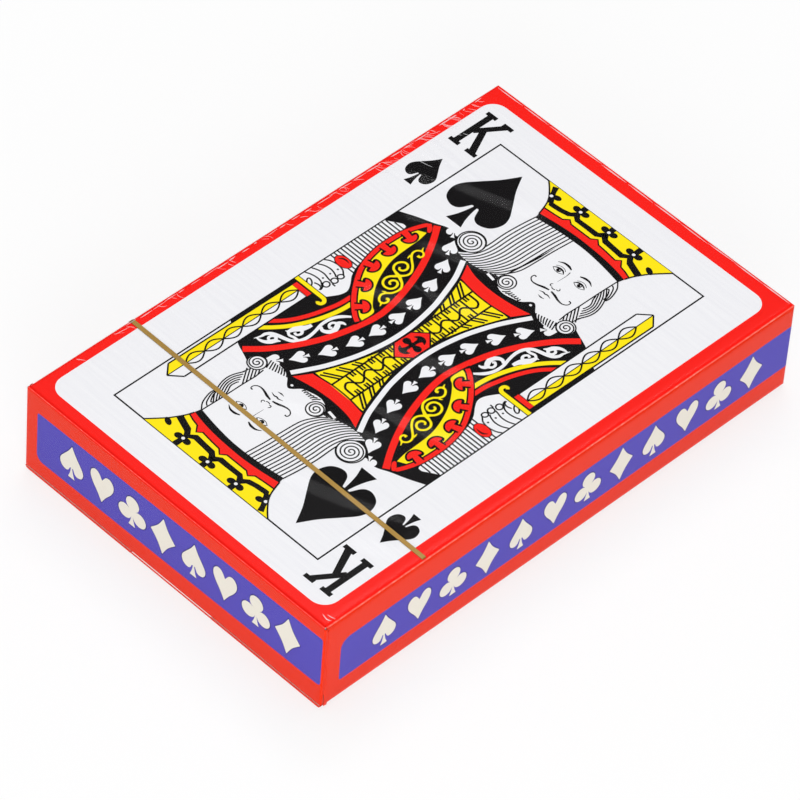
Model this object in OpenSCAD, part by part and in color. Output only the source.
// Deck of bridge-size playing cards in its folded carton, wrapped in clear film with a tear tape.
// X runs across the cards, +Y from the tuck end to the glued base, +Z up through the printed front.
// The origin is in the middle of the footprint, on the surface that the pack lies on.

/* [Cards] */
// Width of one card
card_w = 57; // [50:0.5:64]
// Length of one card
card_l = 88; // [80:0.5:100]
// Thickness of one card
card_t = 0.255; // [0.21:0.005:0.3]
// Air between two cards of the stack
card_air = 0.01; // [0.005:0.005:0.02]
// Radius of a card's corners
card_corner_r = 3.5; // [1:0.1:6]

/* [Carton] */
// Thickness of the folded board
board_t = 0.4; // [0.3:0.05:0.5]
// Outer radius of a pressed crease
crease_r = 0.7; // [0.55:0.05:1]
// Free space between the cards and each long side
side_play = 0.25; // [0.1:0.05:0.8]
// Free space above the cards
top_play = 0.1; // [0.05:0.05:0.6]
// Free space between the cards and the base
base_play = 0.4; // [0.1:0.05:1]
// Free space between the cards and the dust flaps
mouth_play = 0.4; // [0.2:0.05:1]
// Height of the glue flap inside one long side
glue_flap_h = 10; // [6:0.5:11]
// Distance from each end of the glue flap to the end of its side
glue_flap_inset = 4; // [2:0.5:12]
// Run of the slanted ends of the glue flap
glue_flap_slant = 5; // [1:0.5:8]
// Length of each inner flap at the base
base_flap_l = 22; // [12:0.5:24]
// Radius of the thumb notch in the back panel
notch_r = 8; // [5:0.5:11]

/* [Tuck end] */
// Length of the tuck tab from its crease
tab_l = 6; // [4.5:0.5:8]
// Radius of the tab's free corners
tab_corner_r = 4; // [1:0.5:4.5]
// Free space between the tab and each long side
tab_side_play = 0.7; // [0.4:0.1:2]
// Free height between the tab and the lowest card
tab_play = 0.1; // [0.05:0.05:0.4]
// Distance from the lid's ends to the long sides
lid_inset = 0.3; // [0.1:0.05:1]
// Angle through which the lid opens, in degrees
lid_open = 140; // [60:5:150]
// Length of each dust flap from its crease
flap_l = 16; // [12:0.5:18]
// Slope of the long edges of a dust flap, in degrees
flap_taper = 15; // [13:0.5:18]
// Distance from a dust flap's upper edge to the front panel
flap_top_inset = 0.7; // [0.5:0.05:1.5]
// Distance from a dust flap's lower edge to the tuck tab
flap_foot_inset = 1.2; // [1:0.05:2]
// Gap between the lid and the dust flaps behind it
flap_gap = 0.1; // [0.05:0.05:0.4]
// Gap beside the rounded edge on which a panel turns
crease_gap = 0.05; // [0.03:0.01:0.1]

/* [Film] */
// Thickness of the film
film_t = 0.05; // [0.03:0.01:0.08]
// Gap between the film and the carton
film_gap = 0.1; // [0.1:0.01:0.3]
// Distance from the lid's crease to the film's cut rim
film_rim = 0.7; // [0.3:0.05:2]
// Width of the lap seam along the hidden long side
seam_w = 6; // [3:0.5:10]
// Height of each of the two sealed flaps over the base
fold_h = 10; // [8.5:0.5:12]

/* [Tear tape] */
// Width of the tape
tape_w = 0.9; // [0.8:0.1:3]
// Thickness of the tape
tape_t = 0.05; // [0.03:0.01:0.06]
// Distance from the tuck end to the middle of the tape
tape_place = 18.7; // [8:0.1:60]
// Tilt of the tape across the front, in degrees
tape_tilt = 0.8; // [0:0.1:4]
// Length of tape turned down past each long crease
tape_turn = 1.2; // [0.9:0.1:4]

/* [Hidden] */
$fn = 64;
// Length by which every cutting shape runs past what it cuts
overrun = 2;

RANKS = ["ace", "two", "three", "four", "five", "six", "seven", "eight", "nine", "ten",
         "jack", "queen", "king"];
SUITS = ["spades", "diamonds", "clubs", "hearts"];
CARDS = [for (suit = SUITS) for (rank = RANKS) str(rank, "_of_", suit)];
JOKERS = 2;

// The tab turns by this share of the lid's own turn, so that it stays nearly flat as it comes out
tab_tilt_share = 0.5;
card_step = card_t + card_air;
deck_h = (len(CARDS) + JOKERS) * card_step;
lid_h = deck_h + tab_play + top_play + board_t;
// The tip of the tab dips by this much as the lid starts to turn
tab_dip = pow(tab_tilt_share * tab_l, 2) / (2 * lid_h);
tab_drop = tab_dip + crease_gap;
// The open lid leaves this angle between itself and the tab, and each board is pressed thinner towards the
// crease by a share of it
fold_left = 90 - (1 - tab_tilt_share) * lid_open;
press_share = 0.375;
press_slope = press_share * fold_left;
press_l = board_t / 2 / tan(press_slope);

// Levels from the surface up
wrap = film_gap + film_t;
z_back = wrap;
z_floor = z_back + board_t;
z_tab = z_floor + tab_drop;
z_cards = z_tab + board_t + tab_play;
z_ceiling = z_cards + deck_h + top_play;
z_front = z_ceiling + board_t;
total_h = z_front + wrap;

// Widths: the glue flap lies inside the long side at -X, so the cards sit off centre by half a board
inner_w = card_w + 2 * side_play + board_t;
carton_w = inner_w + 2 * board_t;
total_w = carton_w + 2 * wrap;
x_cards = board_t / 2;

// Places along the pack, from the tuck end to the base
total_l = 2 * board_t + flap_gap + mouth_play + card_l + base_play + 2 * board_t + film_gap + 3 * film_t;
y_lid = -total_l / 2;
y_crease = y_lid + board_t / 2;
y_front_end = y_lid + board_t + crease_gap;
y_flap = y_lid + board_t + flap_gap;
y_side_end = y_flap + board_t + crease_gap;
y_cards = y_flap + board_t + mouth_play;
y_base_flap = y_cards + card_l + base_play;
y_base = y_base_flap + board_t;
y_carton_end = y_base + board_t;
y_film_rim = y_front_end + film_rim;
y_film_end = y_carton_end + wrap;

// Axes on which the tuck end turns
z_hinge = z_front - board_t / 2;
z_tab_crease = z_tab + board_t / 2;
x_flap_crease = (carton_w - board_t) / 2;
z_lid_low = z_tab_crease + board_t / 2 + crease_gap;

// A dust flap is a tapered strip that ends in an arc touching both edges
flap_low = z_tab + board_t + flap_foot_inset;
flap_high = z_ceiling - flap_top_inset;
flap_half = (flap_high - flap_low) / 2;
flap_tip_r = (flap_half * cos(flap_taper) - flap_l * sin(flap_taper)) / (1 - sin(flap_taper));

echo(total_w = total_w, total_l = total_l, total_h = total_h, tab_drop = tab_drop);
echo(y_crease = y_crease, z_hinge = z_hinge, z_tab_crease = z_tab_crease);
echo(x_flap_crease = x_flap_crease, y_flap_crease = y_flap + board_t / 2);

// Box between two corners
module block(low, high) {
    translate(low) cube(high - low);
}

// Rectangle between two corners, with its four corners rounded
module rounded_rect(low, high, r) {
    size = high - low;
    translate(low) {
        translate([r, 0]) square([size.x - 2 * r, size.y]);
        translate([0, r]) square([size.x, size.y - 2 * r]);
        for (x = [r, size.x - r], y = [r, size.y - r])
            translate([x, y]) circle(r);
    }
}

// Flat outline in X and Z carried along Y
module along_y(y_from, y_to) {
    translate([0, y_to, 0]) rotate([90, 0, 0]) linear_extrude(y_to - y_from) children();
}

// Flat outline in Y and Z carried along X, to both sides of the middle
module along_x(half_w) {
    translate([-half_w, 0, 0]) rotate([90, 0, 90]) linear_extrude(2 * half_w) children();
}

// Flat outline in X and Y carried up along Z
module along_z(z_from, z_to) {
    translate([0, 0, z_from]) linear_extrude(z_to - z_from) children();
}

// Folded box shape: long edges and the four edges of the far end are rounded as creases, near end square
module creased_block(half_w, y_from, y_to, z_from, z_to, r) {
    y_past = y_from - 2 * r - overrun;
    intersection() {
        along_y(y_from, y_to) rounded_rect([-half_w, z_from], [half_w, z_to], r);
        along_x(half_w + overrun) rounded_rect([y_past, z_from], [y_to, z_to], r);
        along_z(z_from - overrun, z_to + overrun) rounded_rect([-half_w, y_past], [half_w, y_to], r);
    }
}

// Outer form of the carton, grown by a margin all round
module carton_form(margin, y_from) {
    creased_block(carton_w / 2 + margin, y_from, y_carton_end + margin, z_back - margin, z_front + margin,
                  crease_r + margin);
}

// One card of the stack, counted from the back panel
module playing_card(place) {
    low = [x_cards - card_w / 2, y_cards];
    translate([0, 0, z_cards + place * card_step])
        linear_extrude(card_t)
            rounded_rect(low, low + [card_w, card_l], card_corner_r);
}

module jokers() {
    color("white")
        for (k = [0 : JOKERS - 1])
            playing_card(len(CARDS) + k);
}

// Strip glued inside the long side at -X, with slanted ends
module glue_flap() {
    y_from = y_side_end + glue_flap_inset;
    y_to = y_base_flap - glue_flap_inset;
    z_low = z_ceiling - glue_flap_h;
    translate([-inner_w / 2, 0, 0])
        rotate([90, 0, 90])
            linear_extrude(board_t)
                polygon([[y_from, z_ceiling], [y_from + glue_flap_slant, z_low],
                         [y_to - glue_flap_slant, z_low], [y_to, z_ceiling]]);
}

// Short flaps turned in from both long sides and glued to the inside of the base
module base_flaps() {
    for (side = [0, 1])
        mirror([side, 0, 0])
            along_y(y_base_flap, y_base)
                polygon([[-inner_w / 2, z_floor], [-inner_w / 2 + base_flap_l, z_floor + crease_r],
                         [-inner_w / 2 + base_flap_l, z_ceiling - crease_r], [-inner_w / 2, z_ceiling]]);
}

// One folded and glued board: front, notched back, two long sides and the base
module carton() {
    half_past = carton_w / 2 + overrun;
    color("orangered")
        difference() {
            union() {
                difference() {
                    carton_form(0, y_lid);
                    creased_block(inner_w / 2, y_lid - overrun, y_base, z_floor, z_ceiling,
                                  crease_r - board_t);
                }
                base_flaps();
                glue_flap();
            }
            block([-half_past, y_lid - overrun, z_floor], [half_past, y_front_end, z_front + overrun]);
            block([-half_past, y_lid - overrun, z_floor], [half_past, y_side_end, z_ceiling]);
            translate([0, y_lid, z_back - overrun]) cylinder(h = board_t + 2 * overrun, r = notch_r);
        }
}

// Closing panel, with the rounded edge that turns in the front panel's crease, pressed thinner at its foot
module lid_panel() {
    y_inner = y_lid + board_t;
    y_pressed = y_crease + (z_lid_low - z_tab_crease) * tan(press_slope);
    half = carton_w / 2 - lid_inset;
    color("orangered") {
        along_x(half)
            polygon([[y_lid, z_lid_low], [y_lid, z_hinge], [y_inner, z_hinge],
                     [y_inner, z_tab_crease + press_l], [y_pressed, z_lid_low]]);
        along_x(half) translate([y_crease, z_hinge]) circle(board_t / 2);
    }
}

// Tab that tucks in under the cards, pressed thinner at the rounded edge that turns in the lid's lower crease
module tuck_tab() {
    half = inner_w / 2 - tab_side_play;
    color("floralwhite") {
        intersection() {
            along_z(z_tab, z_tab + board_t)
                rounded_rect([-half, y_crease - 2 * tab_corner_r], [half, y_crease + tab_l], tab_corner_r);
            along_x(half)
                polygon([[y_crease, z_tab], [y_crease + tab_l, z_tab], [y_crease + tab_l, z_tab + board_t],
                         [y_crease + press_l, z_tab + board_t], [y_crease, z_tab_crease]]);
        }
        along_x(half) translate([y_crease, z_tab_crease]) circle(board_t / 2);
    }
}

// Tapered flap turned in from the long side at -X, with its rounded edge and a round tip
module dust_flap() {
    z_mid = (flap_low + flap_high) / 2;
    x_tip = flap_l - flap_tip_r;
    x_touch = x_tip + flap_tip_r * sin(flap_taper);
    half_touch = flap_tip_r * cos(flap_taper);
    translate([-x_flap_crease, 0, z_mid]) {
        along_y(y_flap, y_flap + board_t) {
            polygon([[0, -flap_half], [x_touch, -half_touch], [x_touch, half_touch], [0, flap_half]]);
            translate([x_tip, 0]) circle(flap_tip_r);
        }
        translate([0, y_flap + board_t / 2, -flap_half]) cylinder(h = 2 * flap_half, r = board_t / 2);
    }
}

module dust_flap_left() {
    color("floralwhite") dust_flap();
}

module dust_flap_right() {
    color("floralwhite") mirror([1, 0, 0]) dust_flap();
}

// Outline of one sealed flap over the base, mitred by the folds at its two ends
module fold_flap() {
    half = carton_w / 2 - crease_r;
    polygon([[-half, 0], [half, 0], [half - fold_h, fold_h], [fold_h - half, fold_h]]);
}

// Clear sleeve with a lap seam inside the hidden long side, folded and sealed over the base
module film_wrap() {
    seam_z = (z_back + z_front) / 2;
    color("lightcyan", 0.3) {
        difference() {
            carton_form(wrap, y_film_rim);
            carton_form(film_gap, y_film_rim - overrun);
        }
        block([-carton_w / 2 - film_gap - film_t / 2, y_film_rim, seam_z - seam_w / 2],
              [film_t - carton_w / 2 - film_gap, y_carton_end - crease_r, seam_z + seam_w / 2]);
        along_y(y_film_end - film_t / 2, y_film_end + film_t)
            translate([0, z_back + crease_r]) fold_flap();
        along_y(y_film_end - film_t / 2, y_film_end + 2 * film_t)
            translate([0, z_front - crease_r]) mirror([0, 1]) fold_flap();
    }
}

// Narrow tape under the film, across the front and a little way down both long sides
module tear_tape() {
    color("goldenrod")
        intersection() {
            difference() {
                carton_form(film_gap, y_film_rim);
                carton_form(film_gap - tape_t, y_film_rim - overrun);
            }
            translate([0, y_lid + tape_place, z_front - tape_turn])
                rotate([0, 0, -tape_tilt])
                    block([-total_w, -tape_w / 2, 0], [total_w, tape_w / 2, tape_turn + total_h]);
        }
}

for (place = [0 : len(CARDS) - 1])
    color("white") playing_card(place);
jokers();
carton();
lid_panel();
tuck_tab();
dust_flap_left();
dust_flap_right();
film_wrap();
tear_tape();
